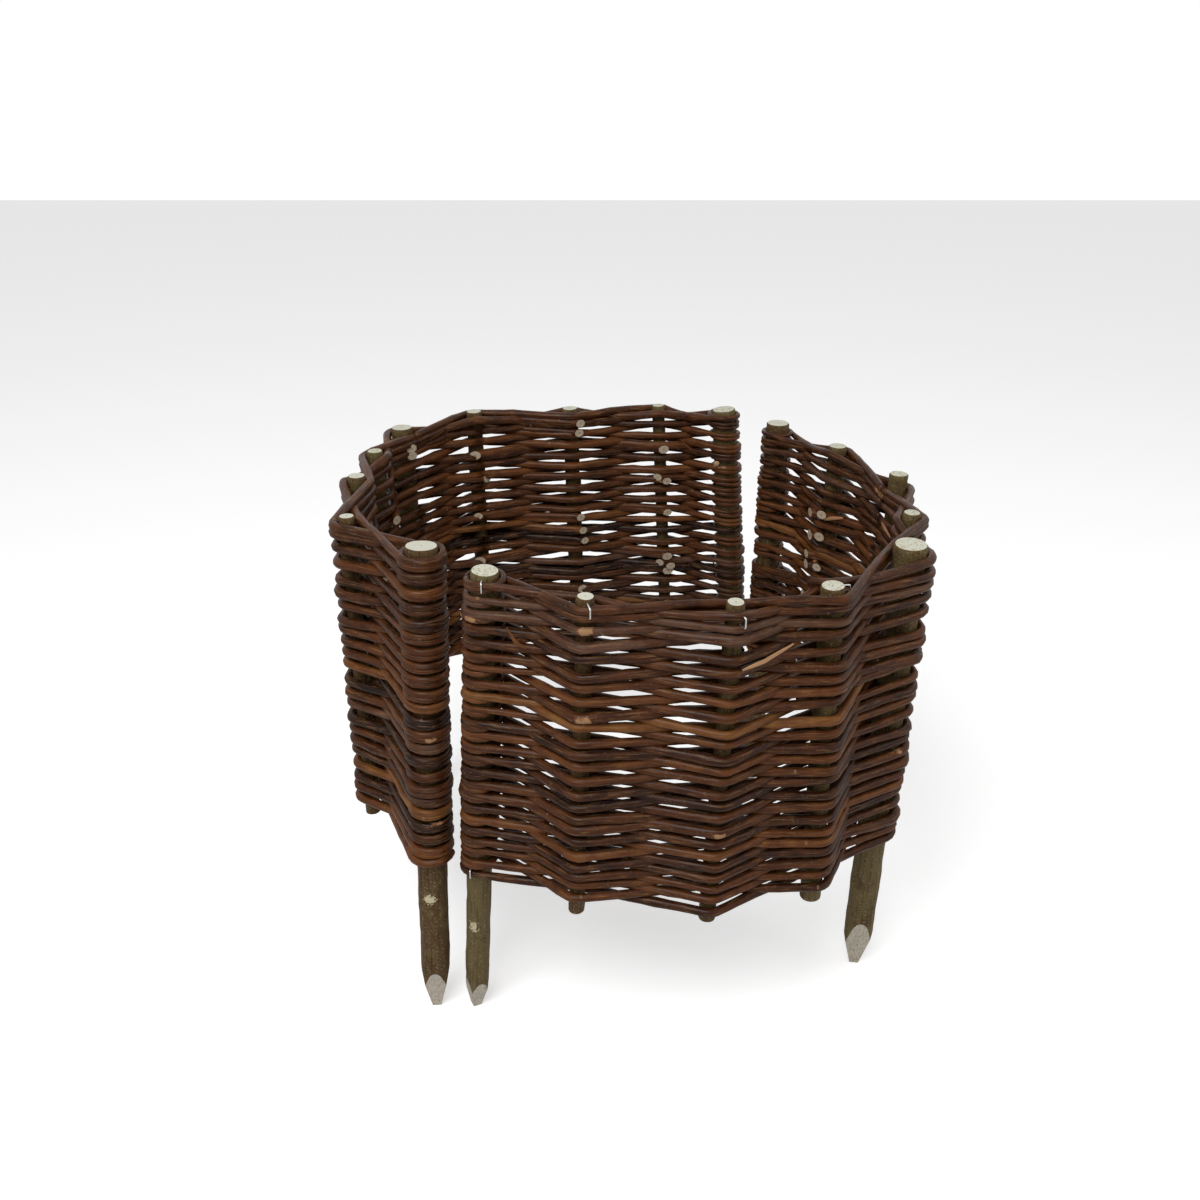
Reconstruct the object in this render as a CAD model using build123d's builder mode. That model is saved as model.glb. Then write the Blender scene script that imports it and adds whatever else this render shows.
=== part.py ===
from build123d import *
import os
from math import asin, cos, radians, sqrt

os.makedirs("parts", exist_ok=True)

# The ring: two woven half hurdles that stand on pointed posts and face each other.
# Millimetres. The ground is at Z = 0 and the front is towards -Y.
ring_radius = 218
ring_centre = Vector(-2, 6, 0)
weave_height = 250
spike_length = 150

# The weave: level courses of rods, each outside one stake and inside the next
course_count = 13
rods_per_course = 2
rod_thickness = 7
seam_thickness = 3.4
course_lap = 3
stake_clearance = 0.3

# The stakes
stake_rise = 5
foot_drop = 9
point_length = 28
point_blunt_radius = 3.4
point_facets = 4

# Each half in order, from its front end post to its back end post.
# Bearings are in degrees from +X, and departures are from the ring's radius.
# A lean is how far a stake lies off its top at the bottom of the weave, in X and Y.
left_bearings = [-137, -159, -182, -198, -214, -233, -256, -280, -297]
left_departures = [-21, 4, 0, 8, 27, 18, -13, -6, 1]
left_radii = [12, 6.3, 7.5, 7.5, 10, 7.7, 7.8, 6.4, 11.5]
left_leans = [(-8, -18), (-4, -6), (0, 0), (0, 0), (0, 0), (0, 0), (6, 0), (14, 0), (22, 0)]

right_bearings = [-119, -98, -74, -57, -34, -19, 3, 24, 46]
right_departures = [-19, -4, 11, 17, 17, 5, 5, -13, -9]
right_radii = [10, 6.3, 6.5, 8.3, 12, 7, 8, 8.3, 10.8]
right_leans = [(-17, 7), (-8, 9), (-5, 9), (10, 9), (4, 8), (0, 3), (0, 0), (0, 0), (0, 0)]

post_names = {0: "front_end_post", 4: "middle_post", 8: "back_end_post"}

course_height = weave_height / course_count
rod_pitch = course_height / rods_per_course
weave_top = spike_length + weave_height
# The wrap round an end post has three equal bends, on a hexagon about the post
wrap_turn = 60
wrap_corner = cos(radians(wrap_turn / 2))


class Stake:
    """One upright: its axis, its thickness and the height of its cut top."""

    def __init__(self, bearing, departure, radius, lean):
        self.outward = Vector(1, 0, 0).rotate(Axis.Z, bearing)
        self.radius = radius
        self.top_height = weave_top + stake_rise
        self.slope = Vector(-lean[0], -lean[1], weave_height) / weave_height
        self.axis = self.slope.normalized()
        self.head = ring_centre + self.outward * (ring_radius + departure)
        # From the axis to the middle of a rod, with room for the lean in half a course
        sideways = sqrt(lean[0] ** 2 + lean[1] ** 2) / weave_height
        room = stake_clearance + sideways * (course_height + course_lap) / 2
        self.reach = radius + room + rod_thickness / 2

    def at(self, height):
        """The centre of the stake at one height."""
        return self.head + Vector(0, 0, weave_top) + self.slope * (height - weave_top)


def half_ring(*lists):
    """The stakes of one half, in order."""
    return [Stake(*values) for values in zip(*lists)]


def wrap(post, height, side, far_way):
    """The bends of a rod that comes round the far side of an end post to one of its sides."""
    own_side = 0 if side > 0 else 180
    turn = far_way * side * wrap_turn
    angles = [own_side + turn * 2, own_side + turn, own_side]
    reach = post.reach / wrap_corner
    return [post.at(height) + post.outward.rotate(Axis.Z, angle) * reach for angle in angles]


def steepest(point, neighbours, away):
    """The sine of the largest angle at which a rod's runs turn off a stake's tangent."""
    return max(abs((point - other).normalized().dot(away)) for other in neighbours)


def course_route(stakes, level):
    """The bends of one course in plan, from one end wrap past every stake to the other."""
    height = spike_length + course_height * (level + 0.5)
    first_side = 1 if level % 2 == 0 else -1
    sides = [first_side * (-1) ** i for i in range(len(stakes))]
    far_way = -1 if stakes[0].outward.cross(stakes[1].outward).Z > 0 else 1
    first = wrap(stakes[0], height, sides[0], far_way)
    last = wrap(stakes[-1], height, sides[-1], -far_way)[::-1]
    points = [stake.at(height) + stake.outward * side * stake.reach for stake, side in zip(stakes, sides)]
    # A rod bends a little beyond each stake, so that its straight runs clear the round stake
    for i in list(range(len(stakes))) * 3:
        stake = stakes[i]
        at_end = i in (0, len(stakes) - 1)
        neighbours = points[max(i - 1, 0):i] + points[i + 1:i + 2]
        sine = steepest(points[i], neighbours, stake.outward * sides[i])
        corner = min(cos(asin(sine)), wrap_corner if at_end else 1)
        points[i] = stake.at(height) + stake.outward * sides[i] * stake.reach / corner
    return first[:-1] + points + last[1:]


def course_section():
    """One course in section: a ridge for each rod on both faces, and a sharp lap above and below."""
    half = course_height / 2
    near = [(-half - course_lap / 2, 0)]
    for rod in range(rods_per_course):
        near.append((rod_pitch * (rod + 0.5) - half, rod_thickness / 2))
        if rod < rods_per_course - 1:
            near.append((rod_pitch * (rod + 1) - half, seam_thickness / 2))
    near.append((half + course_lap / 2, 0))
    far = [(along, -out) for along, out in reversed(near[1:-1])]
    return near + far


halves = {
    "left": half_ring(left_bearings, left_departures, left_radii, left_leans),
    "right": half_ring(right_bearings, right_departures, right_radii, right_leans),
}

# The weave of each half: one wall, ridged by its rods and open beside its stakes
for half_name, stakes in halves.items():
    courses = []
    for level in range(course_count):
        with BuildPart() as course:
            with BuildLine() as rods:
                Polyline(*course_route(stakes, level))
            across = Plane(rods.line @ 0, x_dir=(0, 0, 1), z_dir=rods.line % 0)
            with BuildSketch(across):
                Polygon(*course_section(), align=None)
            sweep(path=rods.line, transition=Transition.RIGHT)
        courses.append(course.part)
    with BuildPart() as weave:
        add(courses)
    weave.part.label = f"{half_name}_weave"
    export_step(weave.part, f"parts/{half_name}_weave.step")


# The thin stakes: plain rods, cut square just above and just below the weave
for half_name, stakes in halves.items():
    thin_stakes = [stake for i, stake in enumerate(stakes) if i not in post_names]
    for number, stake in enumerate(thin_stakes, start=1):
        foot_height = spike_length - foot_drop
        length = (stake.top_height - foot_height) / stake.axis.Z
        with BuildPart() as thin_stake:
            with BuildSketch(Plane(stake.at(foot_height), z_dir=stake.axis)):
                Circle(stake.radius)
            extrude(amount=length)
        name = f"{half_name}_thin_stake_{number}"
        thin_stake.part.label = name
        export_step(thin_stake.part, f"parts/{name}.step")


# The posts: longer and thicker, with a point whittled in flat cuts to a blunt end on the ground
for half_name, stakes in halves.items():
    for place, post_name in post_names.items():
        stake = stakes[place]
        taper = (stake.radius - point_blunt_radius) / point_length
        length = (stake.top_height + point_length) / stake.axis.Z
        with BuildPart() as post:
            with BuildSketch(Plane(stake.at(-point_length), z_dir=stake.axis)):
                Circle(stake.radius)
            extrude(amount=length)
            split(bisect_by=Plane.XY, keep=Keep.TOP)
            for facet in range(point_facets):
                away = stake.outward.rotate(Axis.Z, 360 / point_facets * facet)
                edge = stake.at(0) + away * point_blunt_radius
                split(bisect_by=Plane(edge, z_dir=away - stake.slope * taper), keep=Keep.BOTTOM)
        name = f"{half_name}_{post_name}"
        post.part.label = name
        export_step(post.part, f"parts/{name}.step")
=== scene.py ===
"""Woven edging ring: two half-round willow hurdles on pointed posts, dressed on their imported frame."""
from math import asin, atan2, ceil, cos, exp, pi, radians, sin, tau
from random import Random

import bmesh
import bpy
from bpy.props import FloatProperty, FloatVectorProperty, IntProperty, PointerProperty
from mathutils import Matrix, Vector
from mathutils.noise import noise


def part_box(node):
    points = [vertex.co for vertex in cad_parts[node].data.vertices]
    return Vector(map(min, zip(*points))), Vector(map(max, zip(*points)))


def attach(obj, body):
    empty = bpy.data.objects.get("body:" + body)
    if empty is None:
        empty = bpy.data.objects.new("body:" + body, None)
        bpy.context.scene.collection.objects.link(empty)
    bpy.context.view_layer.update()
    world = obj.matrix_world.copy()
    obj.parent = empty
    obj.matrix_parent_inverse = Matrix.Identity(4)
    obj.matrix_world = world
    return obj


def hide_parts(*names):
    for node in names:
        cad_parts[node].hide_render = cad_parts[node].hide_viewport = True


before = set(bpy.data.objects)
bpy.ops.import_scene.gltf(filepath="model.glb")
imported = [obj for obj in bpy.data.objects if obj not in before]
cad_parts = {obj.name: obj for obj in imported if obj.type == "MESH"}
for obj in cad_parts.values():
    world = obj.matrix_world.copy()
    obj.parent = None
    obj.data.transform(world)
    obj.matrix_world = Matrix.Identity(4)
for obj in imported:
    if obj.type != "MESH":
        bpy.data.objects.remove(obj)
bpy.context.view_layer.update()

bl_info = {
    "name": "Woven Edging Ring",
    "version": (1, 0, 0),
    "blender": (4, 5, 0),
    "location": "3D View > Sidebar > Edging Ring",
    "description": "Two woven willow half rings on pointed posts",
    "category": "Object",
}

PLACES = (
    "front_end_post", "thin_stake_1", "thin_stake_2", "thin_stake_3", "middle_post",
    "thin_stake_4", "thin_stake_5", "thin_stake_6", "back_end_post",
)
WEAVE_FOOT = 0.150
WEAVE_TOP = 0.400
# The rods' rows fill this height
WEAVE_HEIGHT = 0.2529
# How far the two top rods arch apart between the stakes, the topmost first
TOP_ARCHES = (0.0011, -0.0036)
# Where the last rod's turn round the front end post starts and ends, from its level
WIND_OFF = (-0.0040, 0.0015)
# The height over which a dip in the top rods dies away downward
DIP_FADE = 0.045
# Where two rods lie side by side, how far each is moved from their level
SPLICE_LIFT = 0.0015
# The fewest and the most bends from one rod's end to the next
ROD_BENDS = (9, 13)
# How far a rod's middle lies from the bark, as a share of its radius
PRESSED = 0.92
# How far the first and the last rod's free ends turn round their posts
END_TURN = radians(150)
# Below this share of the thickness before it, a rod thins into a wrap
WRAP_SHARE = 0.8
# How far a rod's cut end stands past its last bend, how far it leans inwards, and the cut's slope
STUB, STUB_LEAN, STUB_SLOPE = (0.006, 0.011), 0.55, 0.9
# A rod's wander off its line, its waves in a metre, and how much its thickness swells with them
ROD_WANDER, ROD_WAVES, ROD_SWELL = 0.0009, 28, 0.07
# How much thicker a rod is at a bud, and how far on the next one is
BUD_SWELL, BUD_SPACING = (1.06, 1.16), (0.03, 0.08)
# Half the height and half the width of a stake's knot
KNOT = (0.006, 0.005)
# From a stake's bark to a torn place on the rods round it
SCAR_DEPTH = 0.0055
# How many times longer than high a torn place is: drawn out along a rod, nearly round on a stake
ROD_SCAR, STAKE_SCAR = 1.9, 1.1
# The least height of a blunt end above the ground
GROUND_GAP = 0.0002
# Material numbers of a cut end and of a whittled flat
CUT_END, FLAT = 1, 2
# How far the top rods lie below the cut tops of the taller posts
DIPS = {"left": {4: 0.002}, "right": {4: 0.002, 6: 0.009, 8: 0.003}}
# How far the rows stray at each stake, as a share of the wander
STRAYS = {"left": (0.45, 1, 1, 1, 0.9, 0.6, 0.6, 0.6, 0.6), "right": (0.45, 1, 1, 1, 1, 1, 1, 1, 1)}
# How much thicker than their sizes the rods of a half are
FULLER = {"left": 1.08, "right": 1.0}
# The stakes inside which rods end, most often first
JOINTS = {"left": (6, 6, 6, 7, 2, 3, 5), "right": (7, 5, 6, 2, 3)}
# The posts that a rod's tip stops short of
UNSPLICED = {"left": (0, 8), "right": (0, 4, 8)}
# The share of their thickness that the rods keep round a front end post, where they lie tight
FRONT_WRAPS = {"left": 0.82, "right": 0.78}
# Each staple's stake on the right half, the bearing it faces in degrees, the height of its middle,
# and how far its crown stands off the bark
STAPLES = (
    (0, -94, 0.3985, 0.0052), (1, -78, 0.3990, 0.0080), (2, -68, 0.3960, 0.0072), (3, 8, 0.4010, 0.0030),
    (0, -112, 0.1545, 0.0056),
)
# Torn wood and bark: half, stations as place, height and distance outward, then width and thickness
STRANDS = {
    "torn_slivers": (
        ("right", ((2.02, 0.364, 0.016), (2.22, 0.367, 0.015), (2.52, 0.3735, 0.011)), 0.0034, 0.0014),
        ("right", ((-0.13, 0.372, 0.001), (-0.22, 0.369, -0.003), (-0.29, 0.363, -0.005)), 0.0055, 0.0016),
        ("right", ((5.1, 0.38, -0.012), (5.5, 0.376, -0.0135), (5.75, 0.37, -0.012)), 0.0036, 0.0012),
        ("right", ((6.6, 0.35, -0.011), (6.75, 0.346, -0.014), (6.86, 0.342, -0.015)), 0.0034, 0.0012),
        ("left", ((8.0, 0.356, -0.018), (7.93, 0.3545, -0.0185)), 0.0050, 0.0016),
    ),
    "loose_bark": (
        ("left", ((7.35, 0.376, -0.011), (7.5, 0.369, -0.015), (7.62, 0.362, -0.012)), 0.0012, 0.0009),
        ("left", ((7.8, 0.25, -0.012), (7.9, 0.244, -0.019)), 0.0016, 0.0010),
        ("right", ((4.55, 0.3, 0.01), (4.62, 0.286, 0.016), (4.6, 0.268, 0.012)), 0.0020, 0.0010),
        ("right", ((0.3, 0.372, 0.009), (0.42, 0.366, 0.014), (0.5, 0.362, 0.011)), 0.0030, 0.0012),
    ),
}
# Where bark has come off, in each half: stake, bearing in degrees, height, and size
SCARS = {
    "rods": {
        "left": (
            (0, -72, 0.262, 0.005), (0, -60, 0.190, 0.006), (8, -110, 0.352, 0.006),
            (7, -90, 0.330, 0.0045), (2, 178, 0.340, 0.006), (4, 146, 0.230, 0.006), (6, 80, 0.300, 0.007),
        ),
        "right": (
            (0, -122, 0.374, 0.007), (0, -108, 0.392, 0.005), (1, -89, 0.385, 0.006),
            (1, -92, 0.317, 0.008), (1, -76, 0.317, 0.006), (2, -84, 0.228, 0.006),
            (2, -88, 0.181, 0.0055), (6, 170, 0.388, 0.008), (5, 150, 0.384, 0.006),
            (7, -160, 0.300, 0.006), (4, -70, 0.240, 0.006),
        ),
    },
    "stakes": {
        "left": ((0, -95, 0.116, 0.0062), (4, 160, 0.070, 0.0050)),
        "right": ((0, -109, 0.096, 0.0056),),
    },
}
# The knife cuts of the posts' points: the bearing that each flat faces in degrees, its length,
# and how far it passes from the post's axis at the ground
POINT_CUTS = {
    "left_front_end_post": (
        (-84, 0.043, 0.0016), (6, 0.045, 0.0036), (95, 0.038, 0.0038), (184, 0.046, 0.0034),
    ),
    "left_middle_post": (
        (-100, 0.040, 0.0034), (-20, 0.034, 0.0034), (60, 0.042, 0.0034), (140, 0.036, 0.0034),
        (200, 0.040, 0.0034),
    ),
    "left_back_end_post": (
        (-75, 0.036, 0.0034), (10, 0.042, 0.0034), (100, 0.034, 0.0034), (190, 0.040, 0.0034),
    ),
    "right_front_end_post": (
        (-66, 0.034, 0.0022), (-150, 0.038, 0.0034), (108, 0.038, 0.0036), (22, 0.043, 0.0034),
    ),
    "right_middle_post": (
        (-98, 0.060, -0.0012), (-12, 0.046, 0.0034), (82, 0.036, 0.0040), (172, 0.038, 0.0038),
    ),
    "right_back_end_post": (
        (-110, 0.038, 0.0034), (-30, 0.036, 0.0034), (60, 0.042, 0.0034), (150, 0.038, 0.0034),
    ),
}
# How stained the sawn tops are, where the stake isn't left to chance
TOP_STAINS = {"left_front_end_post": 0.02, "right_front_end_post": 0.97, "right_middle_post": 0.66}
# Travel from the front post to the back post: the left half runs clockwise, the right half the other way
WAYS = {"left": -1, "right": 1}


class WeaveSizes(bpy.types.PropertyGroup):
    """Sizes of the willow weave."""

    left_rows: IntProperty(
        name="Left rows", description="Rods one above another in the left half", default=46, min=8
    )
    right_rows: IntProperty(
        name="Right rows", description="Rods one above another in the right half", default=48, min=8
    )
    butt: FloatProperty(
        name="Butt", description="Diameter of a rod at its thick end", default=0.0079, unit="LENGTH"
    )
    tip: FloatProperty(
        name="Tip", description="Diameter of a rod at its thin end", default=0.0063, unit="LENGTH"
    )
    wrap: FloatProperty(
        name="Wrap", description="Share of its thickness that a rod keeps round a back post", default=0.62,
        subtype="FACTOR",
    )
    wander: FloatProperty(
        name="Wander", description="How far the rows stray from level", default=0.0019, unit="LENGTH"
    )
    step: FloatProperty(
        name="Step", description="Distance between rings of faces on a straight run", default=0.009,
        unit="LENGTH",
    )
    sides: IntProperty(name="Sides", description="Faces round a rod", default=9, min=6)
    seed: IntProperty(name="Seed", description="Chooses another set of rods", default=7)


class StakeSizes(bpy.types.PropertyGroup):
    """Sizes of the stakes' bark and cuts."""

    sides: IntProperty(name="Sides", description="Faces round a stake", default=28, min=12)
    step: FloatProperty(name="Step", description="Distance between rings", default=0.0055, unit="LENGTH")
    unevenness: FloatProperty(
        name="Unevenness", description="How far the bark swells and sinks", default=0.0009, unit="LENGTH"
    )
    rim: FloatProperty(
        name="Rim", description="Width of the worn rim round a cut top", default=0.0009, unit="LENGTH"
    )


class StapleSizes(bpy.types.PropertyGroup):
    """Sizes of the wire staples."""

    wire: FloatProperty(name="Wire", description="Thickness of the wire", default=0.0012, unit="LENGTH")
    crown: FloatProperty(name="Crown", description="Width across the two legs", default=0.0072, unit="LENGTH")
    legs: FloatProperty(name="Legs", description="Length of a leg", default=0.0100, unit="LENGTH")


class Finishes(bpy.types.PropertyGroup):
    """Colours of the wood and the wire."""

    rod_dark: FloatVectorProperty(
        name="Dark rods", description="Colour of the darkest rods", subtype="COLOR",
        default=(0.014, 0.0045, 0.0020),
    )
    rod_brown: FloatVectorProperty(
        name="Brown rods", description="Colour of most rods", subtype="COLOR", default=(0.078, 0.0240, 0.0065)
    )
    rod_warm: FloatVectorProperty(
        name="Warm rods", description="Colour of the lightest rods", subtype="COLOR",
        default=(0.180, 0.070, 0.018),
    )
    stake_bark: FloatVectorProperty(
        name="Stake bark", description="Colour of the stakes' bark", subtype="COLOR",
        default=(0.082, 0.044, 0.015),
    )
    cut_wood: FloatVectorProperty(
        name="Cut wood", description="Colour of freshly cut wood", subtype="COLOR",
        default=(0.74, 0.73, 0.62),
    )
    whittled: FloatVectorProperty(
        name="Whittled wood", description="Colour of the whittled points", subtype="COLOR",
        default=(0.52, 0.47, 0.38),
    )
    wire: FloatVectorProperty(
        name="Wire", description="Colour of the staples", subtype="COLOR", default=(0.62, 0.61, 0.58)
    )


class StageSettings(bpy.types.PropertyGroup):
    """The camera, the lights and the floor."""

    camera_place: FloatVectorProperty(
        name="Camera", description="Where the camera stands", subtype="TRANSLATION",
        default=(-0.0226, -0.7969, 0.6977),
    )
    camera_tilt: FloatProperty(
        name="Tilt", description="Turn of the camera from looking straight down", subtype="ANGLE",
        default=radians(63.42),
    )
    lens: FloatProperty(name="Lens", description="Focal length in millimetres", default=31.71)
    key: FloatProperty(name="Key light", description="Power of the large light", subtype="POWER", default=25)
    fill: FloatProperty(
        name="Fill light", description="Power of the fill light", subtype="POWER", default=4
    )
    sky: FloatProperty(name="Sky", description="Strength of the light from all round", default=0.35)
    lift: FloatProperty(name="Lift", description="How much whiter the camera sees the floor", default=0.46)
    floor: FloatVectorProperty(
        name="Floor", description="Colour of the floor", subtype="COLOR", default=(0.93, 0.93, 0.93)
    )


class Stake:
    """One upright, read from its solid in the frame."""

    def __init__(self, half, place):
        self.node = f"{half}_{place}"
        self.pointed = place.endswith("post")
        low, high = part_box(self.node)
        corners = [v.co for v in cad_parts[self.node].data.vertices]
        self.foot, _ = middle([p for p in corners if p.z < low.z + 0.003])
        self.head, self.radius = middle([p for p in corners if p.z > high.z - 0.003])

    def at(self, height):
        """The middle of the stake at one height."""
        return self.foot.lerp(self.head, (height - self.foot.z) / (self.head.z - self.foot.z))


def middle(points):
    """The middle of some points, and half of their spread."""
    low = Vector(min(p[i] for p in points) for i in range(3))
    high = Vector(max(p[i] for p in points) for i in range(3))
    return (low + high) / 2, max(high.x - low.x, high.y - low.y) / 2


def toward(bearing):
    """The level direction of a bearing in degrees."""
    return Vector((cos(radians(bearing)), sin(radians(bearing)), 0.0))


def outside_of(point):
    """The level direction from the ring's middle past a point."""
    return Vector((point.x, point.y, 0.0)).normalized()


# Node helpers


def link_values(tree, node, values):
    """Fills a node's inputs, with a link where the value is another node's output."""
    for name, value in values.items():
        if isinstance(value, bpy.types.NodeSocket):
            tree.links.new(value, node.inputs[name])
        else:
            node.inputs[name].default_value = value
    return node


def noise_node(tree, vector, scale, detail, roughness):
    """Cloudy noise over a vector."""
    node = tree.nodes.new("ShaderNodeTexNoise")
    link_values(tree, node, {
        "Vector": vector, "Scale": scale, "Detail": detail, "Roughness": roughness,
    })
    return node.outputs["Fac"]


def stretched(tree, vector, scale):
    """A vector with each of its axes scaled."""
    node = tree.nodes.new("ShaderNodeMapping")
    link_values(tree, node, {"Vector": vector, "Scale": scale})
    return node.outputs["Vector"]


def between(tree, value, low, high, to_low=0.0, to_high=1.0):
    """A value moved from one range to another, smoothly and held inside it."""
    node = tree.nodes.new("ShaderNodeMapRange")
    node.interpolation_type = "SMOOTHSTEP"
    link_values(tree, node, {
        "Value": value, "From Min": low, "From Max": high, "To Min": to_low, "To Max": to_high,
    })
    return node.outputs["Result"]


def maths(tree, operation, one, two=0.0):
    """One step of arithmetic."""
    node = tree.nodes.new("ShaderNodeMath")
    node.operation = operation
    link_values(tree, node, {0: one, 1: two})
    return node.outputs[0]


def mixed(tree, share, one, two, kind="MIX"):
    """Two colours mixed by a share."""
    node = tree.nodes.new("ShaderNodeMix")
    node.data_type = "RGBA"
    node.blend_type = kind
    link_values(tree, node, {0: share, 6: colour(one), 7: colour(two)})
    return node.outputs[2]


def colour(value):
    """A colour with its alpha, or the socket as it is."""
    return value if isinstance(value, bpy.types.NodeSocket) else (*value, 1.0)


def attribute(tree, name, output):
    """What the mesh itself carries at each corner."""
    node = tree.nodes.new("ShaderNodeAttribute")
    node.attribute_name = name
    return node.outputs[output]


def bump(tree, height, strength, distance):
    """A normal that follows a height."""
    node = tree.nodes.new("ShaderNodeBump")
    link_values(tree, node, {"Height": height, "Strength": strength, "Distance": distance})
    return node.outputs["Normal"]


def new_material(name):
    """A material with its shader and its tree."""
    material = bpy.data.materials.new(name)
    material.use_nodes = True
    tree = material.node_tree
    return material, tree, tree.nodes["Principled BSDF"]


def new_group(name, numbers, outputs):
    """A shader node group that takes a vector and some numbers, with its two end nodes."""
    tree = bpy.data.node_groups.new(name, "ShaderNodeTree")
    tree.interface.new_socket("Vector", in_out="INPUT", socket_type="NodeSocketVector")
    for in_out, sockets in (("INPUT", numbers), ("OUTPUT", outputs)):
        for socket in sockets:
            tree.interface.new_socket(socket, in_out=in_out, socket_type="NodeSocketFloat")
    return tree, tree.nodes.new("NodeGroupInput").outputs, tree.nodes.new("NodeGroupOutput")


def placed(tree, group, *values):
    """A node group placed in a material, with its own values in the order of its inputs."""
    node = tree.nodes.new("ShaderNodeGroup")
    node.node_tree = bpy.data.node_groups[group]
    return link_values(tree, node, dict(enumerate(values))).outputs


# Effects shared by the finishes


def make_streaks():
    """Fibres and furrows that run along the wood."""
    tree, given, made = new_group("streaks", ("Scale", "Blotches"), ("Streaks", "Blotches"))
    along = stretched(tree, given["Vector"], (1.0, 1.0, 0.08))
    tree.links.new(noise_node(tree, along, given["Scale"], 4.0, 0.6), made.inputs["Streaks"])
    tree.links.new(noise_node(tree, given["Vector"], given["Blotches"], 3.0, 0.6), made.inputs["Blotches"])


def make_specks():
    """Small raised corky specks and grains of dust."""
    tree, given, made = new_group("specks", ("Scale", "Size", "Share"), ("Specks",))
    flat = stretched(tree, given["Vector"], (0.6, 0.6, 1.0))
    cells = tree.nodes.new("ShaderNodeTexVoronoi")
    link_values(tree, cells, {"Vector": flat, "Scale": given["Scale"]})
    dots = maths(tree, "LESS_THAN", cells.outputs["Distance"], given["Size"])
    separate = tree.nodes.new("ShaderNodeSeparateColor")
    tree.links.new(cells.outputs["Color"], separate.inputs["Color"])
    chosen = maths(tree, "LESS_THAN", separate.outputs["Red"], given["Share"])
    tree.links.new(maths(tree, "MULTIPLY", dots, chosen), made.inputs["Specks"])


def torn_back(tree, marks, bark, inner, edge):
    """Bark torn back to the paler wood under it, with a ragged edge."""
    bare = attribute(tree, "wood_bare", "Fac")
    ragged = maths(tree, "ADD", bare, between(tree, marks["Blotches"], 0.3, 0.7, -0.32, 0.32))
    edged = mixed(tree, between(tree, ragged, 0.30, 0.45), bark, edge)
    return mixed(tree, between(tree, ragged, 0.45, 0.62), edged, inner)


def rod_bark(finish):
    """Reddish willow bark, semi-gloss, each rod with its own tone and painted highlight bands along it."""
    material, tree, shader = new_material("rod_bark")
    space = attribute(tree, "wood_space", "Vector")
    tone = attribute(tree, "wood_tone", "Fac")
    marks = placed(tree, "streaks", space, 900.0, 42.0)
    fine = placed(tree, "streaks", space, 420.0, 240.0)
    specks = placed(tree, "specks", space, 330.0, 0.22, 0.3)["Specks"]
    nicks = placed(tree, "specks", space, 75.0, 0.075, 0.22)["Specks"]
    drifted = maths(tree, "ADD", tone, between(tree, marks["Blotches"], 0.3, 0.7, -0.13, 0.13))
    ramp = tree.nodes.new("ShaderNodeValToRGB")
    tree.links.new(drifted, ramp.inputs["Fac"])
    stops = ramp.color_ramp.elements
    stops[0].position, stops[0].color = 0.0, (*finish.rod_dark, 1)
    stops[1].position, stops[1].color = 1.0, (0.235, 0.115, 0.036, 1)
    for position, stop in (
        (0.22, (0.034, 0.0100, 0.0035)), (0.45, finish.rod_brown), (0.65, (0.122, 0.039, 0.0100)),
        (0.85, finish.rod_warm),
    ):
        stops.new(position).color = (*stop, 1)
    # Some rods keep a grey bloom
    bloom = maths(tree, "FRACT", maths(tree, "MULTIPLY", tone, 37.0))
    rare = between(tree, bloom, 0.80, 0.97, 0.0, 0.5)
    bloomed = maths(tree, "MULTIPLY", rare, between(tree, marks["Blotches"], 0.35, 0.6))
    ground = mixed(tree, bloomed, ramp.outputs["Color"], (0.085, 0.060, 0.050))
    streaked = mixed(
        tree, between(tree, fine["Streaks"], 0.44, 0.66, 0.0, 0.7), ground, (0.38, 0.31, 0.28), "MULTIPLY"
    )
    # Painted highlight: lighter sheen-coloured bands along the rods where the coarse streaks run low
    painted_highlight = mixed(tree, between(tree, marks["Streaks"], 0.32, 0.48, 0.38, 0.0), streaked, (0.30, 0.150, 0.055))
    flecked = mixed(tree, maths(tree, "MULTIPLY", specks, 0.20), painted_highlight, (0.20, 0.13, 0.08))
    dusty = between(tree, fine["Blotches"], 0.60, 0.74, 0.0, 0.30)
    dusted = mixed(tree, dusty, flecked, (0.17, 0.115, 0.065))
    nicked = mixed(tree, maths(tree, "MULTIPLY", nicks, 0.5), dusted, (0.26, 0.16, 0.09))
    torn = torn_back(tree, fine, nicked, (0.34, 0.185, 0.090), (0.17, 0.065, 0.026))
    height = maths(tree, "ADD", fine["Streaks"], maths(tree, "MULTIPLY", specks, 0.6))
    link_values(tree, shader, {
        "Base Color": torn, "Roughness": between(tree, marks["Blotches"], 0.3, 0.75, 0.27, 0.48),
        "Specular IOR Level": 0.15, "Normal": bump(tree, height, 0.45, 0.0004),
    })
    return material


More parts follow.
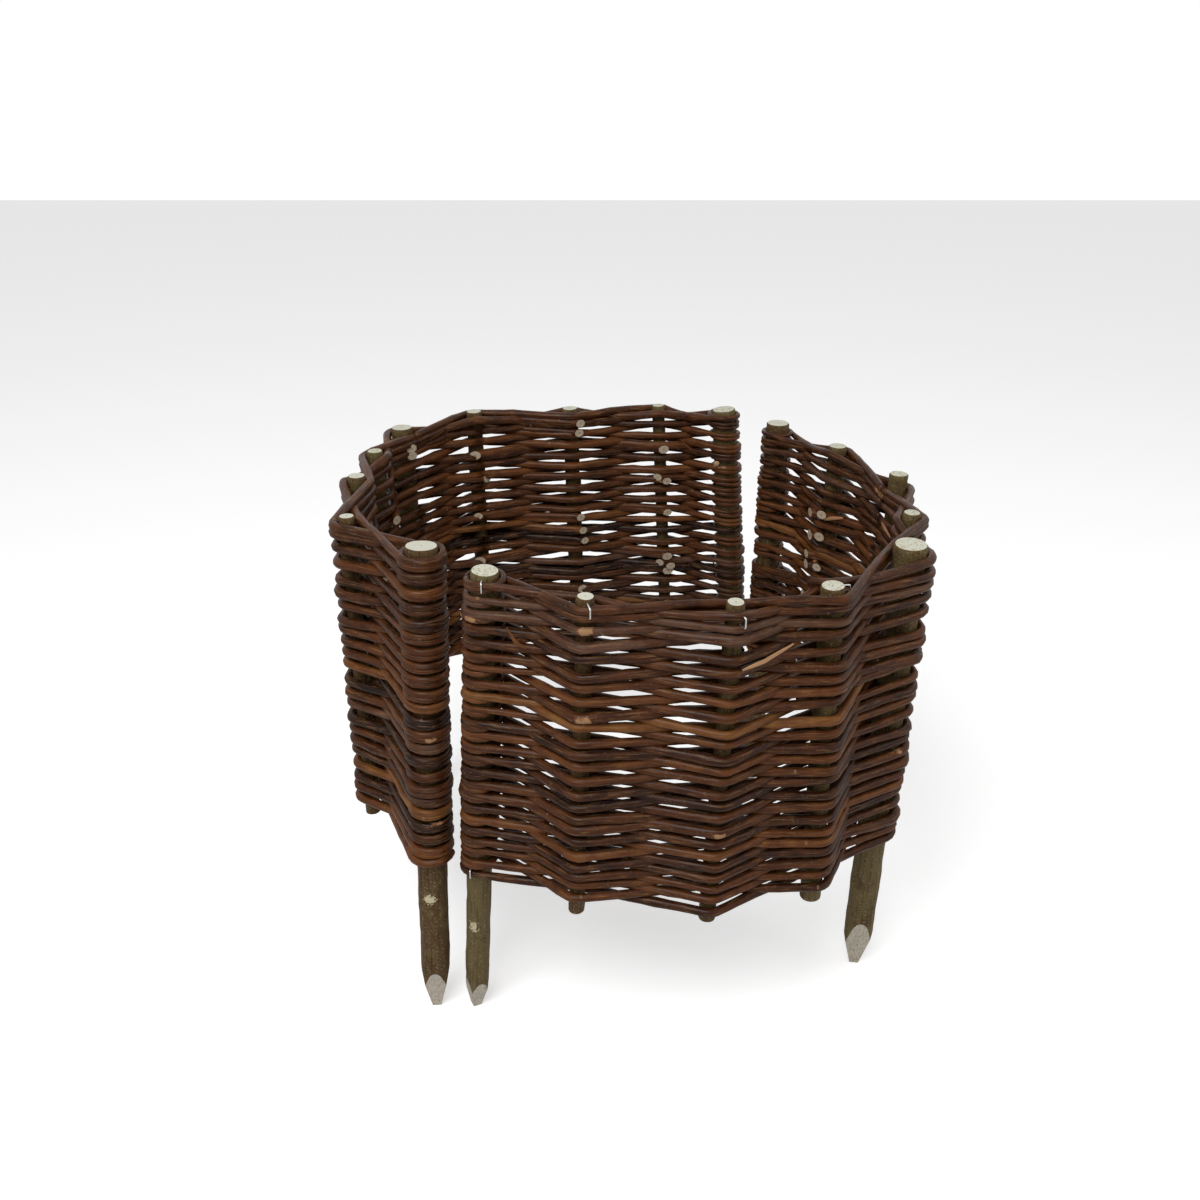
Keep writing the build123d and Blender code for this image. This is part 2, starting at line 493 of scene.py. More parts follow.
def stake_bark(finish):
    """Olive-brown bark with pale specks and greenish patches."""
    material, tree, shader = new_material("stake_bark")
    space = attribute(tree, "wood_space", "Vector")
    tone = attribute(tree, "wood_tone", "Fac")
    marks = placed(tree, "streaks", space, 420.0, 60.0)
    fine = placed(tree, "streaks", space, 1100.0, 620.0)
    specks = placed(tree, "specks", space, 620.0, 0.32, 0.30)["Specks"]
    leaning = maths(tree, "ADD", marks["Blotches"], between(tree, tone, 0.0, 1.0, -0.08, 0.20))
    ground = mixed(tree, between(tree, leaning, 0.45, 0.65), finish.stake_bark, (0.124, 0.090, 0.034))
    pale = between(tree, fine["Blotches"], 0.50, 0.68, 0.0, 0.55)
    mottled = mixed(tree, pale, ground, (0.170, 0.112, 0.045))
    dark = between(tree, fine["Blotches"], 0.34, 0.46, 0.45, 0.0)
    darker = mixed(tree, dark, mottled, (0.040, 0.024, 0.010))
    furrowed = mixed(
        tree, between(tree, marks["Streaks"], 0.48, 0.70, 0.0, 0.7), darker, (0.42, 0.38, 0.34), "MULTIPLY"
    )
    flecked = mixed(tree, maths(tree, "MULTIPLY", specks, 0.42), furrowed, (0.30, 0.26, 0.16))
    torn = torn_back(tree, fine, flecked, (0.56, 0.49, 0.32), (0.16, 0.11, 0.05))
    height = maths(tree, "ADD", fine["Blotches"], maths(tree, "MULTIPLY", specks, 0.5))
    link_values(tree, shader, {
        "Base Color": torn, "Roughness": between(tree, marks["Streaks"], 0.3, 0.7, 0.55, 0.8),
        "Specular IOR Level": 0.2, "Normal": bump(tree, height, 0.6, 0.0006),
    })
    return material


def cut_face(name, fresh, ring, stain, ring_scale):
    """A cut end: growth rings round the pith, grain and stains."""
    material, tree, shader = new_material(name)
    space = attribute(tree, "wood_space", "Vector")
    tone = attribute(tree, "wood_tone", "Fac")
    marks = placed(tree, "streaks", space, 700.0, 260.0)
    specks = placed(tree, "specks", space, 900.0, 0.34, 0.5)["Specks"]
    across = tree.nodes.new("ShaderNodeVectorMath")
    across.operation = "LENGTH"
    tree.links.new(stretched(tree, space, (1.0, 1.0, 0.0)), across.inputs[0])
    uneven = maths(tree, "MULTIPLY", marks["Blotches"], 0.0016)
    from_pith = maths(tree, "ADD", across.outputs["Value"], uneven)
    rings = maths(tree, "SINE", maths(tree, "MULTIPLY", from_pith, ring_scale))
    ringed = mixed(tree, between(tree, rings, 0.1, 1.0, 0.0, 0.5), fresh, ring)
    pith = between(tree, across.outputs["Value"], 0.0004, 0.0010, 0.75, 0.0)
    pithed = mixed(tree, pith, ringed, (0.16, 0.11, 0.06))
    aged = between(tree, tone, 0.1, 0.9, 0.10, 0.85)
    stained = mixed(
        tree, maths(tree, "MULTIPLY", between(tree, marks["Blotches"], 0.42, 0.70), aged), pithed, stain
    )
    speckled = mixed(tree, maths(tree, "MULTIPLY", specks, aged), stained, (0.28, 0.25, 0.15))
    height = maths(tree, "ADD", marks["Streaks"], maths(tree, "MULTIPLY", rings, 0.3))
    link_values(tree, shader, {
        "Base Color": speckled, "Roughness": between(tree, marks["Streaks"], 0.3, 0.7, 0.6, 0.85),
        "Specular IOR Level": 0.25, "Normal": bump(tree, height, 0.6, 0.0004),
    })
    return material


def cut_wood(finish):
    """The sawn tops of the stakes."""
    return cut_face("cut_wood", finish.cut_wood, (0.46, 0.43, 0.30), (0.47, 0.45, 0.28), 3600.0)


def rod_end(finish):
    """The rods' snipped ends, browned by the air."""
    return cut_face("rod_end", (0.52, 0.42, 0.31), (0.28, 0.20, 0.13), (0.34, 0.25, 0.16), 3800.0)


def whittled_wood(finish):
    """The knife-cut flats of the points, greyed by the air."""
    material, tree, shader = new_material("whittled_wood")
    space = attribute(tree, "wood_space", "Vector")
    marks = placed(tree, "streaks", space, 900.0, 70.0)
    grained = mixed(
        tree, between(tree, marks["Streaks"], 0.42, 0.68, 0.0, 0.6), finish.whittled, (0.20, 0.15, 0.09)
    )
    greyed = mixed(tree, between(tree, marks["Blotches"], 0.45, 0.7, 0.0, 0.6), grained, (0.38, 0.36, 0.33))
    link_values(tree, shader, {
        "Base Color": greyed, "Roughness": between(tree, marks["Streaks"], 0.3, 0.7, 0.6, 0.85),
        "Normal": bump(tree, marks["Streaks"], 0.5, 0.0004),
    })
    return material


def torn_wood(finish):
    """Torn wood and the orange inner bark beside it."""
    material, tree, shader = new_material("torn_wood")
    space = attribute(tree, "wood_space", "Vector")
    tone = attribute(tree, "wood_tone", "Fac")
    marks = placed(tree, "streaks", space, 900.0, 90.0)
    ground = mixed(tree, between(tree, tone, 0.3, 0.8), (0.50, 0.34, 0.17), (0.40, 0.19, 0.08))
    grained = mixed(tree, between(tree, marks["Streaks"], 0.42, 0.68, 0.0, 0.6), ground, (0.22, 0.11, 0.05))
    link_values(tree, shader, {
        "Base Color": grained, "Roughness": between(tree, marks["Streaks"], 0.3, 0.7, 0.55, 0.8),
        "Normal": bump(tree, marks["Streaks"], 0.5, 0.0004),
    })
    return material


def staple_wire(finish):
    """Bright galvanised wire, slightly dulled."""
    material, tree, shader = new_material("staple_wire")
    coordinates = tree.nodes.new("ShaderNodeTexCoord")
    grain = noise_node(tree, coordinates.outputs["Object"], 900.0, 3.0, 0.55)
    dulled = mixed(tree, between(tree, grain, 0.4, 0.7, 0.0, 0.5), finish.wire, (0.45, 0.44, 0.42))
    link_values(tree, shader, {
        "Base Color": dulled, "Roughness": between(tree, grain, 0.3, 0.7, 0.22, 0.45), "Metallic": 1.0,
    })
    return material


FINISH_MAKERS = {
    "rod_bark": rod_bark, "rod_end": rod_end, "stake_bark": stake_bark, "cut_wood": cut_wood,
    "whittled_wood": whittled_wood, "torn_wood": torn_wood, "staple_wire": staple_wire,
}


def material(name):
    """A finish by its name, made when it is first asked for."""
    if "streaks" not in bpy.data.node_groups:
        make_streaks()
        make_specks()
    return bpy.data.materials.get(name) or FINISH_MAKERS[name](bpy.context.scene.edging_finishes)


# Growing wood


def new_wood():
    """An empty mesh whose corners know where in the wood they lie, and how dark that wood is."""
    wood = bmesh.new()
    wood.verts.layers.float_vector.new("wood_space")
    wood.verts.layers.float.new("wood_tone")
    wood.verts.layers.float.new("wood_bare")
    return wood


def grow(path, radii, sides, start, tone, slants=(None, None)):
    """A round length of wood along a path: a ring, extruded from point to point, with closed ends.

    A slant is the way that a cut end faces."""
    wood = new_wood()
    space = wood.verts.layers.float_vector["wood_space"]
    shade = wood.verts.layers.float["wood_tone"]
    ahead = (path[1] - path[0]).normalized()
    place = ahead.to_track_quat("Z", "Y").to_matrix().to_4x4()
    place.translation = path[0]
    ring = bmesh.ops.create_circle(
        wood, cap_ends=True, segments=sides, radius=radii[0], matrix=place,
    )["verts"]
    turned_back = place.inverted()
    for corner in ring:
        local = turned_back @ corner.co
        corner[space] = (local.x, local.y, start)
        corner[shade] = tone
    slant(ring, path[0], -ahead, slants[0])
    caps = list(wood.faces)
    edges = list(wood.edges)
    sharp = list(edges)
    length = start
    for i in range(1, len(path)):
        after = path[min(i + 1, len(path) - 1)]
        heading = (after - path[i - 1]).normalized()
        length += (path[i] - path[i - 1]).length
        turned = ahead.rotation_difference(heading).to_matrix() * (radii[i] / radii[i - 1])
        pushed = bmesh.ops.extrude_edge_only(wood, edges=edges)["geom"]
        ring = [part for part in pushed if isinstance(part, bmesh.types.BMVert)]
        edges = [part for part in pushed if isinstance(part, bmesh.types.BMEdge)]
        for corner in ring:
            arm = corner.co - path[i - 1]
            if i == 1:
                arm -= ahead * arm.dot(ahead)
            corner.co = path[i] + turned @ arm
            corner[space] = (*corner[space].xy, length)
        ahead = heading
    slant(ring, path[-1], ahead, slants[1])
    for face in wood.faces:
        face.smooth = True
    sharp += edges
    caps += bmesh.ops.edgeloop_fill(wood, edges=edges)["faces"]
    for cap in caps:
        cap.material_index = CUT_END
        cap.smooth = False
    for edge in sharp:
        edge.smooth = False
    bmesh.ops.recalc_face_normals(wood, faces=wood.faces)
    return wood


def slant(ring, centre, outward, facing):
    """Leans an end's ring, so that its cut face looks partly towards one side."""
    if facing:
        for corner in ring:
            corner.co -= outward * (corner.co - centre).dot(facing) * STUB_SLOPE


def scars(kind, half):
    """The middle and size of each torn place of one half."""
    found = []
    for place, bearing, height, size in SCARS[kind][half]:
        stake = Stake(half, PLACES[place])
        out = stake.radius + (SCAR_DEPTH if kind == "rods" else 0.0)
        found.append((stake.at(height) + toward(bearing) * out, size))
    return found


def lay_bare(wood, spots, narrowness):
    """Marks the corners near a torn place: over 1 in its middle, and 0 where the bark is whole."""
    bare = wood.verts.layers.float["wood_bare"]
    for corner in wood.verts:
        for spot, size in spots:
            away = corner.co - spot
            away.z *= narrowness
            corner[bare] = max(corner[bare], 1.3 - away.length / size)


def mesh_of(name, made):
    """A mesh with what was made, which is freed."""
    mesh = bpy.data.meshes.new(name)
    made.to_mesh(mesh)
    made.free()
    return mesh


def new_object(name, data):
    """An object in the scene's own collection."""
    made = bpy.data.objects.new(name, data)
    bpy.context.scene.collection.objects.link(made)
    return made


def gather(whole, piece):
    """Adds one piece's mesh to the whole."""
    mesh = mesh_of("gathered", piece)
    whole.from_mesh(mesh)
    bpy.data.meshes.remove(mesh)


def finished(name, whole, finishes, nodes=()):
    """Makes the finished piece an object at the origin, which rides on the frame."""
    mesh = mesh_of(name, whole)
    for finish in finishes:
        mesh.materials.append(material(finish))
    piece = new_object(name, mesh)
    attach(piece, "root")
    if nodes:
        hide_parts(*nodes)


# The weave


class Bend:
    """One bend of the rods' long line round a stake. Its thickness is the rod's radius there."""

    def __init__(self, place, side, turn, level):
        self.place = place
        self.side = side
        self.turn = turn
        self.levels = [level]
        self.thickness = 0.0
        self.whole_turns = 0
        self.hump = 0.0


def row_level(sizes, rows, half, row, place):
    """The height of a row at a stake: level, with a shared wave and a stray of its own."""
    radius = (sizes.butt + sizes.tip) / 4
    pitch = (WEAVE_HEIGHT - radius * 2) / (rows - 2)
    # The two top rods share one level and cross over each other between the stakes
    level = WEAVE_FOOT + radius + pitch * min(row, rows - 2)
    dip = DIPS[half].get(place, 0.0) * exp((level - WEAVE_TOP) / DIP_FADE)
    # The lowest and the highest rows stray less
    calm = min(1.0, (row + 1) / 5, (rows - row) / 6) * STRAYS[half][place]
    layer = 50.0 if half == "left" else 90.0
    # A slow wave that near rows share, and a quick one of each row's own
    shared = noise(Vector((row * 0.21, place * 0.61, layer)))
    own = noise(Vector((row * 5.37, place * 1.93, layer + 7.0)))
    return level - dip + sizes.wander * calm * (shared * 3.2 + own * 3.1)


def lay_out(sizes, half, stakes):
    """Every bend of one half, row after row from the bottom, to and fro between the end posts."""
    bends = []
    last = len(stakes) - 1
    rows = sizes.left_rows if half == "left" else sizes.right_rows
    for row in range(rows):
        onward = row % 2 == 0
        for place in range(last + 1) if onward else range(last, -1, -1):
            level = row_level(sizes, rows, half, row, place)
            if bends and bends[-1].place == place:
                bends[-1].levels.append(level)
                bends[-1].whole_turns = 1
                continue
            side = 1 if (place + row) % 2 == 0 else -1
            bends.append(Bend(place, side, side * WAYS[half] * (1 if onward else -1), level))
            if row >= rows - 2:
                bends[-1].hump = TOP_ARCHES[rows - 1 - row]
    # The last rod is wound off once round the front post, close under its cut top
    bends[-1].whole_turns = 1
    bends[-1].levels = [bends[-1].levels[0] + change for change in WIND_OFF]
    return bends


def share_out(sizes, half, bends, last, draw):
    """Where one rod ends and the next begins: inside a stake, a rod's length apart."""
    ends = [0]
    while ends[-1] < len(bends) - 2 * ROD_BENDS[1]:
        place = draw.choice(JOINTS[half])
        wanted = ends[-1] + draw.randint(*ROD_BENDS)
        while bends[wanted].side > 0 or bends[wanted].place != place:
            wanted += 1
        ends.append(wanted)
    ends.append(len(bends) - 1)
    for first, final in zip(ends, ends[1:]):
        butt = sizes.butt * FULLER[half] * draw.uniform(0.83, 1.08) / 2
        tip = sizes.tip * FULLER[half] * draw.uniform(0.84, 1.12) / 2
        for i in range(first, final + 1):
            bends[i].thickness = butt + (tip - butt) * (i - first) / (final - first)
            if bends[i].place in (0, last):
                bends[i].thickness *= sizes.wrap if bends[i].place else FRONT_WRAPS[half]
    return ends


def headings_of(bends, stakes):
    """The direction of each straight run of a line pulled taut from bend to bend."""
    found = []
    for one, two in zip(bends, bends[1:]):
        level_one, level_two = one.levels[-1], two.levels[0]
        step = stakes[two.place].at(level_two) - stakes[one.place].at(level_one)
        offset = two.turn * reach(two, stakes) - one.turn * reach(one, stakes)
        found.append(atan2(step.y, step.x) - asin(offset / step.xy.length))
    return found


def reach(bend, stakes):
    """From a stake's middle to a rod's, pressed a little into the bark."""
    return stakes[bend.place].radius + bend.thickness * PRESSED


def turn_between(bend, before, after, end_post):
    """How far a rod turns round its stake."""
    angle = ((after - before) * bend.turn) % tau
    if end_post:
        return angle + tau * bend.whole_turns
    return angle if angle < pi else 0.0


def bend_points(bend, stakes, before, after, end_post):
    """The points of one bend round its stake, each with the rod's radius."""
    stake = stakes[bend.place]
    angle = turn_between(bend, before, after, end_post)
    count = max(1, ceil(angle / radians(20)))
    points = []
    for i in range(count + 1):
        heading = before + bend.turn * angle * i / count
        level = bend.levels[0] + (bend.levels[-1] - bend.levels[0]) * i / count
        aside = Vector((sin(heading), -cos(heading), 0.0)) * bend.turn * reach(bend, stakes)
        points.append((stake.at(level) + aside, bend.thickness))
    return points


def whole_line(sizes, bends, stakes, headings):
    """The rods' long line of one half: for each bend its points, and for each run the points between."""
    last = len(stakes) - 1
    turns = []
    for i, bend in enumerate(bends):
        after = headings[min(i, len(headings) - 1)]
        before = headings[i - 1] if i else after - bend.turn * END_TURN
        if i == len(bends) - 1:
            after = before + bend.turn * END_TURN
        turns.append(bend_points(bend, stakes, before, after, bend.place in (0, last)))
    runs = []
    for bend, one, two in zip(bends, turns, turns[1:]):
        (start, thick), (end, thin) = one[-1], two[0]
        count = max(2, round((end - start).length / sizes.step))
        run = []
        for i in range(1, count):
            share = i / count
            point = start.lerp(end, share) + Vector((0, 0, bend.hump * sin(pi * share)))
            # A rod thins towards a wrap only in the last third of its run
            slim, fuller = sorted((thick, thin))
            if slim >= fuller * WRAP_SHARE:
                fuller = thick
            near = min(1.0, 3 * (share if thick < thin else 1 - share))
            run.append((point, slim + (fuller - slim) * near))
        runs.append(run)
    return turns, runs


def spliced(bends, joint, posts):
    """Where an old rod's tip ends: two stakes past the joint, or at the joint where a post is too near."""
    beyond = bends[joint + 1:joint + 3]
    if joint == len(bends) - 1 or any(bend.place in posts for bend in beyond):
        return joint
    return joint + 2


def one_rod(bends, turns, runs, first, joint, posts, draw):
    """The points of one rod. It starts on top of the old rod's tip, and ends below the next rod's butt."""
    final = spliced(bends, joint, posts)
    overlap = spliced(bends, first, posts) if first else first
    lifts = {}
    for i in range(first, final + 1):
        above = SPLICE_LIFT if first and i <= overlap else 0.0
        below = SPLICE_LIFT if joint < len(bends) - 1 and i >= joint else 0.0
        lifts[i] = above - below
    points = []
    for i in range(first, final + 1):
        points += [(point + Vector((0, 0, lifts[i])), radius) for point, radius in turns[i]]
        if i < final:
            count = len(runs[i]) + 1
            for step, (point, radius) in enumerate(runs[i], start=1):
                lift = lifts[i] + (lifts[i + 1] - lifts[i]) * step / count
                points.append((point + Vector((0, 0, lift)), radius))
    if first:
        points = points[len(turns[first]) // 2:]
    if joint < len(bends) - 1:
        points = points[:len(points) - len(turns[final]) // 2]
    path = [p for p, _ in points]
    radii = [r for _, r in points]
    if first:
        path.insert(0, stub(path[0], path[1], draw))
        radii.insert(0, radii[0])
    if joint < len(bends) - 1:
        path.append(stub(path[-1], path[-2], draw))
        radii.append(radii[-1])
    else:
        # The half's last tip thins out where it is tucked in
        for i in range(1, 8):
            radii[-i] *= 0.2 + 0.1 * i
    return path, radii


def stub(end, before, draw):
    """Where a rod's cut end stands: on past its last bend, and a little in towards the ring's middle."""
    onward = (end - before).normalized()
    return end + (onward - outside_of(end) * STUB_LEAN).normalized() * draw.uniform(*STUB)


def inward_of(point, wound_off):
    """The way that a cut end faces: in towards the ring's middle, unless it is wound off round a post."""
    return None if wound_off else -outside_of(point)


def grown_uneven(path, radii, draw):
    """Gives a rod its small wander and its swollen buds."""
    shift = draw.uniform(0, 500)
    length = 0.0
    next_bud = draw.uniform(0.01, 0.05)
    for i, point in enumerate(path):
        if i:
            length += (point - path[i - 1]).length
        at = Vector((length * ROD_WAVES, shift, 0.0))
        point += Vector([noise(at + Vector((0, lane, 0))) for lane in (0, 9, 19)]) * ROD_WANDER
        radii[i] *= 1 + ROD_SWELL * noise(at * 1.7)
        if length > next_bud:
            radii[i] *= draw.uniform(*BUD_SWELL)
            next_bud += draw.uniform(*BUD_SPACING)


class WeaveRods(bpy.types.Operator):
    """Weave the willow rods of both halves round their stakes."""

    bl_idname = "edging.weave_rods"
    bl_label = "Weave rods"

    def execute(self, context):
        sizes = context.scene.edging_weave
        for half in WAYS:
            draw = Random(sizes.seed + len(half))
            stakes = [Stake(half, place) for place in PLACES]
            bends = lay_out(sizes, half, stakes)
            ends = share_out(sizes, half, bends, len(stakes) - 1, draw)
            turns, runs = whole_line(sizes, bends, stakes, headings_of(bends, stakes))
            whole = new_wood()
            torn = scars("rods", half)
            for first, joint in zip(ends, ends[1:]):
                path, radii = one_rod(bends, turns, runs, first, joint, UNSPLICED[half], draw)
                grown_uneven(path, radii, draw)
                tone = min(0.80, max(0.0, draw.gauss(0.42, 0.21)))
                slants = (inward_of(path[0], first == 0), inward_of(path[-1], joint == len(bends) - 1))
                rod = grow(path, radii, sizes.sides, draw.uniform(0, 40), tone, slants)
                near = [spot for spot in torn if min((p - spot[0]).length for p in path) < 0.020]
                if near:
                    lay_bare(rod, near, ROD_SCAR)
                gather(whole, rod)
            finished(f"{half}_woven_rods", whole, ("rod_bark", "rod_end"), [f"{half}_weave"])
        return {"FINISHED"}


# The stakes


def stake_wood(stake, sizes, torn, draw):
    """One barked stake with its uneven bark, knots, worn rim and, on a post, its point."""
    foot = stake.foot.z
    count = ceil((stake.head - stake.foot).length / sizes.step)
    heights = [foot + (stake.head.z - foot) * i / count for i in range(count + 1)]
    path = [stake.at(height) for height in heights]
    radii = [stake.radius] * len(path)
    tone = TOP_STAINS.get(stake.node, draw.random())
    # The worn rim: the bark curls in a little round the cut top
    axis = (stake.head - stake.foot).normalized()
    path[-1:] = [stake.head - axis * sizes.rim, stake.head]
    radii[-1:] = [stake.radius * 0.99, stake.radius - sizes.rim]
    wood = grow(path, radii, sizes.sides, draw.uniform(0, 40), tone)
    knots = [
        (draw.uniform(foot + 0.03, stake.head.z - 0.01), draw.uniform(0, tau), draw.uniform(0.0006, 0.0016))
        for _ in range(5 if stake.pointed else 3)
    ]
    for corner in wood.verts:
        out = corner.co - stake.at(corner.co.z)
        swell = noise(corner.co * 45) * 0.65 + noise(corner.co * 160) * 0.35
        amount = swell * sizes.unevenness
        for height, angle, size in knots:
            aside = (atan2(out.y, out.x) - angle + pi) % tau - pi
            far = ((corner.co.z - height) / KNOT[0]) ** 2 + (aside * stake.radius / KNOT[1]) ** 2
            amount += size * exp(-far)
        # The bark swells mostly inwards, so that it stays within its solid
        corner.co += out.normalized() * (amount - sizes.unevenness * 0.4)
    lay_bare(wood, torn, STAKE_SCAR)
    if stake.pointed:
        whittle(wood, stake)
    return wood


def whittle(wood, stake):
    """Cuts the point: flat cuts down to a blunt end on the ground."""
    axis = (stake.head - stake.foot).normalized()
    for bearing, length, inset in POINT_CUTS[stake.node]:
        out = toward(bearing)
        out = (out - axis * out.dot(axis)).normalized()
        normal = (out * length - axis * (stake.radius - inset)).normalized()
        shave(wood, stake.foot + out * inset, normal)
    shave(wood, Vector((0, 0, GROUND_GAP)), Vector((0, 0, -1)))
    bmesh.ops.recalc_face_normals(wood, faces=wood.faces)


def shave(wood, edge, normal):
    """Cuts away what lies beyond a plane, and closes the cut with a whittled flat."""
    cut_parts = bmesh.ops.bisect_plane(
        wood, geom=wood.verts[:] + wood.edges[:] + wood.faces[:], plane_co=edge, plane_no=normal,
        clear_outer=True,
    )["geom_cut"]
    rim = [part for part in cut_parts if isinstance(part, bmesh.types.BMEdge)]
    for face in bmesh.ops.edgeloop_fill(wood, edges=rim)["faces"]:
        face.material_index = FLAT
        face.smooth = False
    for edge_cut in rim:
        edge_cut.smooth = False


class CutStakes(bpy.types.Operator):
    """Cut the six pointed posts and the twelve thin stakes."""

    bl_idname = "edging.cut_stakes"
    bl_label = "Cut stakes"

    def execute(self, context):
        sizes = context.scene.edging_stakes
        for half in WAYS:
            for number, place in enumerate(PLACES, start=1):
                stake = Stake(half, place)
                draw = Random(number * 31 + len(half))
                finished(
                    f"{half}_barked_{place}", stake_wood(stake, sizes, scars("stakes", half), draw),
                    ("stake_bark", "cut_wood", "whittled_wood"), [stake.node],
                )
        return {"FINISHED"}


# The staples


class DriveStaples(bpy.types.Operator):
    """Drive the wire staples over the rods of the right half."""

    bl_idname = "edging.drive_staples"
    bl_label = "Drive staples"

    def execute(self, context):
        sizes = context.scene.edging_staples
        whole = new_wood()
        for place, facing, height, stand in STAPLES:
            stake = Stake("right", PLACES[place])
            gather(whole, staple(stake, toward(facing), height, stand, sizes))
        finished("wire_staples", whole, ("staple_wire", "staple_wire"))
        return {"FINISHED"}


def staple(stake, out, height, stand, sizes):
    """One staple: a wire bent twice, with both legs in the stake and its crown upright over a rod."""
    across = Vector((-out.y, out.x, 0.0))
    crown = stake.at(height) + out * (stake.radius + stand)
    half = sizes.crown / 2
    path = []
    for end in (-1, 1):
        bent = [
            crown + Vector((0, 0, end * half)) - out * sizes.legs,
            crown + Vector((0, 0, end * half)) - out * 0.0010,
            crown + Vector((0, 0, end * (half - 0.0003))) - out * 0.0003 + across * 0.0002,
            crown + Vector((0, 0, end * (half - 0.0010))) + across * 0.0003,
        ]
        path += bent if end < 0 else bent[::-1]
    return grow(path, [sizes.wire / 2] * len(path), 8, 0.0, 0.5)


# Loose bark and torn wood


class TearStrands(bpy.types.Operator):
    """Tear the slivers, bark strips and thin strands that stand off the weave."""

    bl_idname = "edging.tear_strands"
    bl_label = "Tear strands"

    def execute(self, context):
        for kind, finish in (("torn_slivers", "torn_wood"), ("loose_bark", "rod_bark")):
            whole = new_wood()
            for i, (half, stations, width, thickness) in enumerate(STRANDS[kind]):
                gather(whole, strand(half, stations, width, thickness, Random(i + 3)))
            finished(kind, whole, (finish, "rod_end"))
        return {"FINISHED"}


def strand(half, stations, width, thickness, draw):
    """A thin strip through stations given as a place along the half, a height and a distance outward."""
    stakes = [Stake(half, place) for place in PLACES]
    points = []
    for along, height, outward in stations:
        before = min(int(along), len(stakes) - 2)
        middle_line = stakes[before].at(height).lerp(stakes[before + 1].at(height), along - before)
        points.append(middle_line + outside_of(middle_line) * outward)
    path = []
    for one, two in zip(points, points[1:]):
        path += [one.lerp(two, i / 6) for i in range(6)]
    path.append(points[-1])
    count = len(path)
    radii = [width / 2 * (0.35 + 0.65 * sin(pi * (i + 1) / (count + 1))) for i in range(count)]
    wood = grow(path, radii, 8, draw.uniform(0, 40), draw.uniform(0.3, 0.9))
    # Pressed flat against the wall
    for corner in wood.verts:
        nearest = min(path, key=lambda p: (corner.co - p).length_squared)
        out = outside_of(nearest)
        aside = (corner.co - nearest).dot(out)
        corner.co += out * aside * (thickness / width - 1)
    return wood


# The stage


class SetStage(bpy.types.Operator):
    """Set the floor, the lights and the camera."""

    bl_idname = "edging.set_stage"
    bl_label = "Set stage"

    def execute(self, context):
        settings = context.scene.edging_stage
        make_floor(settings)
        make_sky(settings)
        make_light("key", settings.key, 1.1, Vector((-0.5, -1.1, 1.9)))
        make_light("fill", settings.fill, 1.4, Vector((1.6, -0.4, 1.1)))
        camera = new_object("camera", bpy.data.cameras.new("camera"))
        camera.data.sensor_width = 36.0
        camera.data.lens = settings.lens
        camera.location = settings.camera_place
        camera.rotation_euler = (settings.camera_tilt, 0.0, 0.0)
        context.scene.camera = camera
        context.scene.view_settings.view_transform = "Standard"
        return {"FINISHED"}


def make_floor(settings):
    """A plain pale floor under the ring."""
    ground = bmesh.new()
    bmesh.ops.create_grid(ground, x_segments=2, y_segments=2, size=6.0)
    mesh = mesh_of("floor", ground)
    finish, tree, shader = new_material("floor")
    # The camera sees the floor lifted to white, and the object's light stays as it is
    rays = tree.nodes.new("ShaderNodeLightPath").outputs
    link_values(tree, shader, {
        "Base Color": (*settings.floor, 1), "Roughness": 0.9, "Specular IOR Level": 0.0,
        "Emission Color": (1, 1, 1, 1),
        "Emission Strength": maths(tree, "MULTIPLY", rays["Is Camera Ray"], settings.lift),
    })
    mesh.materials.append(finish)
    new_object("floor", mesh)


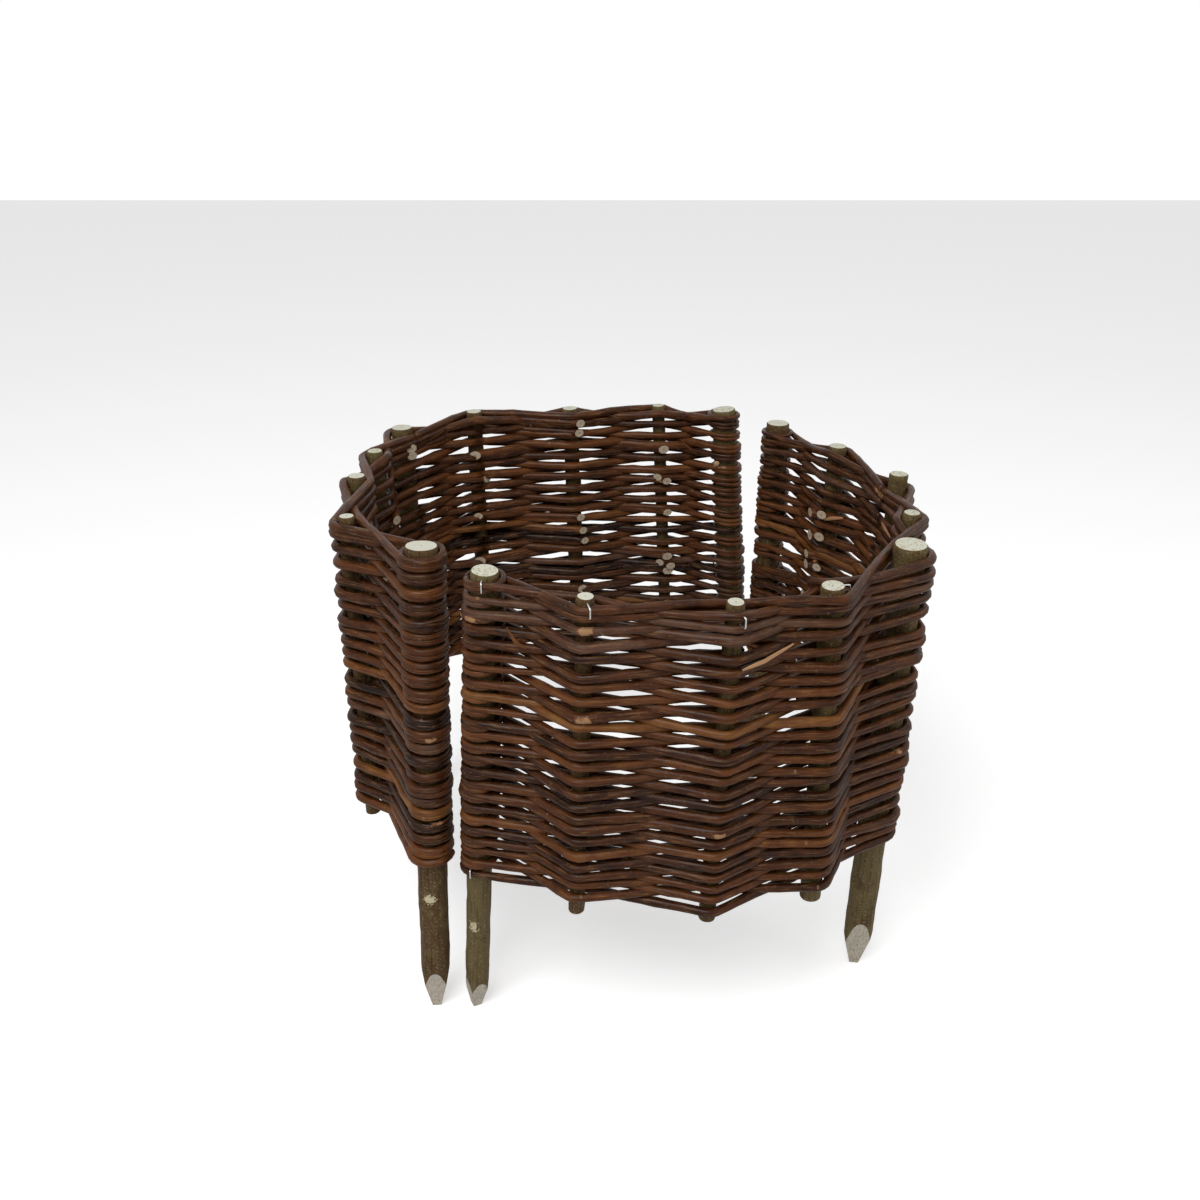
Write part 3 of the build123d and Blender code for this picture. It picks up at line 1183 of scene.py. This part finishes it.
def make_sky(settings):
    """Soft light from all round, and plain white where the camera or a gloss sees it."""
    world = bpy.data.worlds.new("sky")
    world.use_nodes = True
    tree = world.node_tree
    rays = tree.nodes.new("ShaderNodeLightPath").outputs
    seen = maths(tree, "MAXIMUM", rays["Is Camera Ray"], rays["Is Glossy Ray"])
    seen = maths(tree, "MAXIMUM", seen, rays["Is Transmission Ray"])
    background = tree.nodes["Background"]
    background.inputs["Color"].default_value = (1, 1, 1, 1)
    tree.links.new(between(tree, seen, 0.0, 1.0, settings.sky, 1.0), background.inputs["Strength"])
    bpy.context.scene.world = world


def make_light(name, power, size, place):
    """A large soft lamp that faces the ring."""
    lamp = bpy.data.lights.new(name, "AREA")
    lamp.energy = power
    lamp.size = size
    light = new_object(name, lamp)
    light.location = place
    light.rotation_euler = (Vector((0, 0, 0.2)) - place).to_track_quat("-Z", "Y").to_euler()


class EdgingPanel(bpy.types.Panel):
    """Lists the steps that make the ring."""

    bl_idname = "VIEW3D_PT_edging_ring"
    bl_label = "Edging Ring"
    bl_space_type = "VIEW_3D"
    bl_region_type = "UI"
    bl_category = "Edging Ring"

    def draw(self, context):
        for step in STEPS:
            self.layout.operator(step.bl_idname)


STEPS = (WeaveRods, CutStakes, DriveStaples, TearStrands, SetStage)
SETTINGS = {
    "edging_weave": WeaveSizes, "edging_stakes": StakeSizes, "edging_staples": StapleSizes,
    "edging_finishes": Finishes, "edging_stage": StageSettings,
}
CLASSES = (*SETTINGS.values(), *STEPS, EdgingPanel)


def register():
    for made in CLASSES:
        bpy.utils.register_class(made)
    for name, kind in SETTINGS.items():
        setattr(bpy.types.Scene, name, PointerProperty(type=kind))


def unregister():
    for name in SETTINGS:
        delattr(bpy.types.Scene, name)
    for made in reversed(CLASSES):
        bpy.utils.unregister_class(made)


def main():
    register()
    bpy.ops.edging.weave_rods()
    bpy.ops.edging.cut_stakes()
    bpy.ops.edging.drive_staples()
    bpy.ops.edging.tear_strands()
    bpy.ops.edging.set_stage()


if __name__ == "__main__":
    main()
